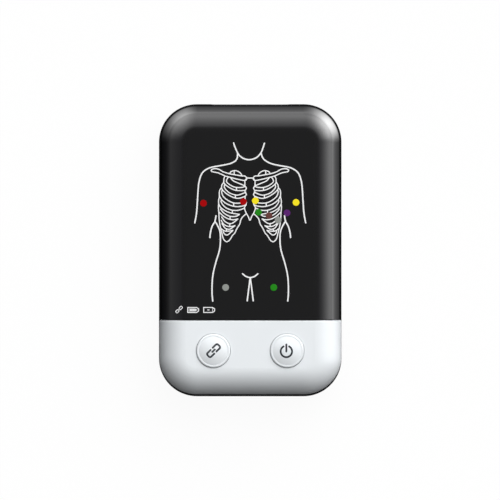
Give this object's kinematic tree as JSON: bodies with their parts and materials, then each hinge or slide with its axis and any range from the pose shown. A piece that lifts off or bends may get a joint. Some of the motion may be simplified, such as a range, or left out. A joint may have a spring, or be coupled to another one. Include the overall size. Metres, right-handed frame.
{
  "type": "wireless electrocardiogram recorder",
  "caption": "Pocket-sized box that reads heart signals from body electrodes: dark front plate with a placement figure, two press buttons, a lead socket in one end and a sliding battery door.",
  "frame": {"origin": "middle of the outline, on the plane that the back rests on", "axes": "+Z out of the front face, +Y towards the end with the lead socket, +X to the right as seen from the front"},
  "size_m": [0.065, 0.104, 0.0244],
  "materials": {
    "dark_shell": "fine moulded texture",
    "white_shell": "fine moulded satin gloss",
    "dark_face": "polished",
    "button_white": "satin gloss",
    "bonding_film": "translucent film",
    "seal_rubber": "matt",
    "screw_steel": "plated",
    "label_stock": "blank coated film",
    "cell_jacket": "printed jacket, steel ends",
    "nickel_contact": "nickel plated",
    "spring_steel": "nickel plated wire",
    "black_nylon": "matt",
    "gold_contact": "gold plated",
    "board_green": "solder mask",
    "board_blue": "solder mask",
    "tin_can": "tinned",
    "chip_black": "moulded resin",
    "ferrite_grey": "sintered",
    "capacitor_tan": "moulded",
    "lamp_lens": "clear resin",
    "clear_guide": "polished clear plastic",
    "switch_plastic": "moulded",
    "plunger_plastic": "moulded"
  },
  "bodies": {
    "housing": {"rear_housing": "dark_shell", "front_housing": "white_shell", "faceplate": "dark_face", "faceplate_film": "bonding_film", "housing_seal": "seal_rubber", "housing_screws": "screw_steel", "board_screws": "screw_steel", "rear_label": "label_stock", "battery_cell_left": "cell_jacket", "battery_cell_right": "cell_jacket", "positive_contact": "nickel_contact", "negative_contact": "nickel_contact", "bridge_contact": "nickel_contact", "negative_spring": "spring_steel", "bridge_spring": "spring_steel", "socket_shell": "nickel_contact", "socket_insulator": "black_nylon", "socket_contacts": "gold_contact", "main_board": "board_green", "wireless_module": "board_blue", "input_shield": "tin_can", "wireless_shield": "tin_can", "input_converters": "chip_black", "processor": "chip_black", "boost_inductor": "ferrite_grey", "bulk_capacitors": "capacitor_tan", "crystal": "tin_can", "protection_resistors": "chip_black", "status_lamps": "lamp_lens", "light_guides": "clear_guide", "light_baffle": "black_nylon", "link_switch_base": "switch_plastic", "link_switch_cover": "tin_can", "link_switch_dome": "nickel_contact", "power_switch_base": "switch_plastic", "power_switch_cover": "tin_can", "power_switch_dome": "nickel_contact"},
    "battery_door": {"battery_door": "dark_shell"},
    "link_button": {"link_button_cap": "button_white", "link_switch_plunger": "plunger_plastic"},
    "power_button": {"power_button_cap": "button_white", "power_switch_plunger": "plunger_plastic"}
  },
  "joints": [
    {"name": "battery_door_slide", "type": "slide", "parent": "housing", "child": "battery_door", "axis": [0, -1, 0], "range_m": [0, 0.062]},
    {"name": "link_press", "type": "slide", "parent": "housing", "child": "link_button", "axis": [0, 0, -1], "range_m": [0, 0.0004], "stiffness_N_per_m": 2500, "springref_m": -0.0001, "deforming": ["link_switch_dome"]},
    {"name": "power_press", "type": "slide", "parent": "housing", "child": "power_button", "axis": [0, 0, -1], "range_m": [0, 0.0004], "stiffness_N_per_m": 2500, "springref_m": -0.0001, "deforming": ["power_switch_dome"]}
  ]
}
